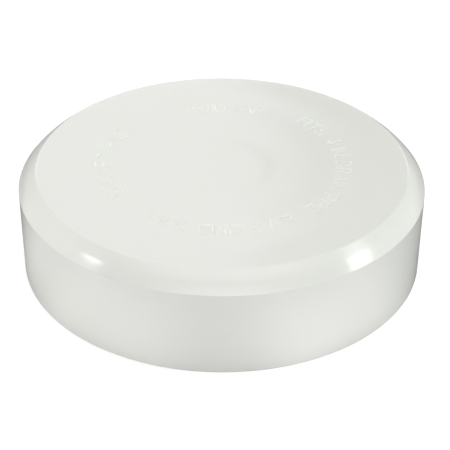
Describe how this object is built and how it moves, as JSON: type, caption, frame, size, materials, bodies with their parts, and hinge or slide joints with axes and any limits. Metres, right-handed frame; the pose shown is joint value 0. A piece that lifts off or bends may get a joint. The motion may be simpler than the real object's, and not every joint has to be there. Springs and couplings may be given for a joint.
{
  "type": "pipe cap",
  "caption": "Round white plastic end cap for a drain pipe: straight socket with a stop ledge, chamfered shoulder and a flat closed face with small raised words.",
  "frame": {"origin": "centre of the plane of the rim, at the bottom of the skirt, which is also the bottom centre of the bounding box", "axes": "+Z along the socket's axis, up from the open mouth through the closed face; -Y is the side that the front words read from, and +X is to the right of someone reading them"},
  "size_m": [0.1127, 0.1126, 0.0294],
  "materials": {
    "white_pvc": "gloss, moulded"
  },
  "bodies": {
    "root": {"cap_shell": "white_pvc", "front_lettering": "white_pvc", "left_lettering": "white_pvc", "back_lettering": "white_pvc", "right_lettering": "white_pvc"}
  },
  "joints": []
}
